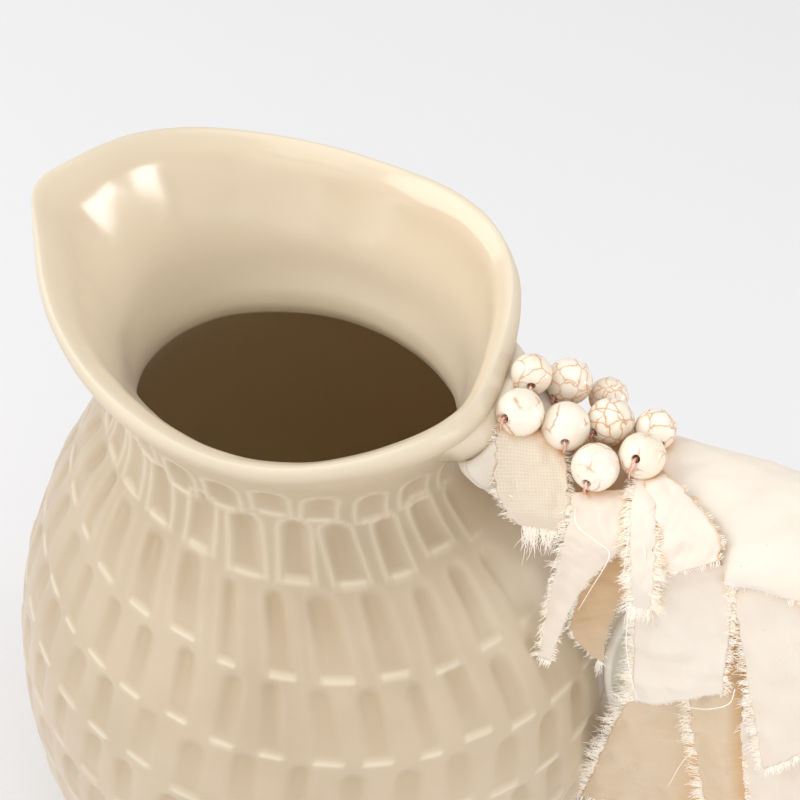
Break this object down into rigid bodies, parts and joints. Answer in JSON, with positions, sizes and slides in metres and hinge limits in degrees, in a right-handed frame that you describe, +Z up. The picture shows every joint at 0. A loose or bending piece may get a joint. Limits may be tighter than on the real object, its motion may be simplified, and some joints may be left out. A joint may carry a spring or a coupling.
{
  "type": "pitcher",
  "caption": "Open glazed pitcher with a pinched spout, carved belly and strap handle bound in torn cloth, wired beads and a hanging glazed tag.",
  "frame": {"origin": "centre of the foot, on the surface it stands on", "axes": "+Z up, -X towards the pouring spout, the handle towards +X and turned 8 degrees towards -Y"},
  "size_m": [0.2117, 0.1552, 0.2312],
  "materials": {
    "glazed_clay": "cream glaze, glossy inside and satin over the carved outside",
    "satin_cloth": "smooth woven ribbon",
    "torn_cloth": "plain woven cotton with torn, frayed edges",
    "copper_wire": "thin twisted strands",
    "crackle_bead": "polished with orange-brown crackle veins",
    "glazed_tag": "smooth pale greenish glaze",
    "twine": "twisted cotton"
  },
  "bodies": {
    "pitcher": {"vessel": "glazed_clay", "handle": "glazed_clay", "wrap_band": "satin_cloth", "wrap_sleeve": "torn_cloth", "wrap_end": "torn_cloth", "bead_wire": "copper_wire", "strip_over": "torn_cloth", "flap_loop": "torn_cloth", "strip_front": "torn_cloth", "strip_side": "torn_cloth", "strip_low": "torn_cloth", "strip_low_mid": "torn_cloth", "strip_low_right": "torn_cloth", "tail_twisted": "torn_cloth", "tail_back": "torn_cloth", "knot_tail": "torn_cloth"},
    "bead_1": {"bead_1": "crackle_bead"},
    "bead_2": {"bead_2": "crackle_bead"},
    "bead_3": {"bead_3": "crackle_bead"},
    "bead_4": {"bead_4": "crackle_bead"},
    "bead_5": {"bead_5": "crackle_bead"},
    "bead_6": {"bead_6": "crackle_bead"},
    "bead_7": {"bead_7": "crackle_bead"},
    "bead_8": {"bead_8": "crackle_bead"},
    "bead_9": {"bead_9": "crackle_bead"},
    "pendant": {"pendant": "glazed_tag", "pendant_twine": "twine"}
  },
  "joints": [
    {"name": "bead_1_turn", "type": "hinge", "parent": "pitcher", "child": "bead_1", "pos_m": [0.03996, 0.00035, 0.21053], "axis": [-0.1779, 0.9692, -0.1702], "continuous": true},
    {"name": "bead_2_turn", "type": "hinge", "parent": "pitcher", "child": "bead_2", "pos_m": [0.04802, 0.0045, 0.20676], "axis": [0.4227, 0.859, 0.289], "continuous": true},
    {"name": "bead_3_turn", "type": "hinge", "parent": "pitcher", "child": "bead_3", "pos_m": [0.04005, -0.01112, 0.21038], "axis": [0.5172, 0.8056, -0.289], "continuous": true},
    {"name": "bead_4_turn", "type": "hinge", "parent": "pitcher", "child": "bead_4", "pos_m": [0.05015, -0.00931, 0.2076], "axis": [-0.1642, 0.9814, -0.0993], "continuous": true},
    {"name": "bead_5_turn", "type": "hinge", "parent": "pitcher", "child": "bead_5", "pos_m": [0.05919, -0.00388, 0.20653], "axis": [0.5678, 0.8231, 0], "continuous": true},
    {"name": "bead_6_turn", "type": "hinge", "parent": "pitcher", "child": "bead_6", "pos_m": [0.05724, 0.00753, 0.20185], "axis": [0.2571, 0.9664, 0], "continuous": true},
    {"name": "bead_7_turn", "type": "hinge", "parent": "pitcher", "child": "bead_7", "pos_m": [0.05855, -0.01684, 0.20566], "axis": [0.1771, 0.9842, 0], "continuous": true},
    {"name": "bead_8_turn", "type": "hinge", "parent": "pitcher", "child": "bead_8", "pos_m": [0.06761, -0.01209, 0.20752], "axis": [0.2415, 0.7848, -0.5707], "continuous": true},
    {"name": "bead_9_turn", "type": "hinge", "parent": "pitcher", "child": "bead_9", "pos_m": [0.06896, -0.00252, 0.20626], "axis": [-0.4305, 0.9026, 0], "continuous": true},
    {"name": "pendant_swing", "type": "hinge", "parent": "pitcher", "child": "pendant", "pos_m": [0.09172, -0.02295, 0.18947], "axis": [0.9903, -0.1392, 0], "range_deg": [0, 15]}
  ]
}
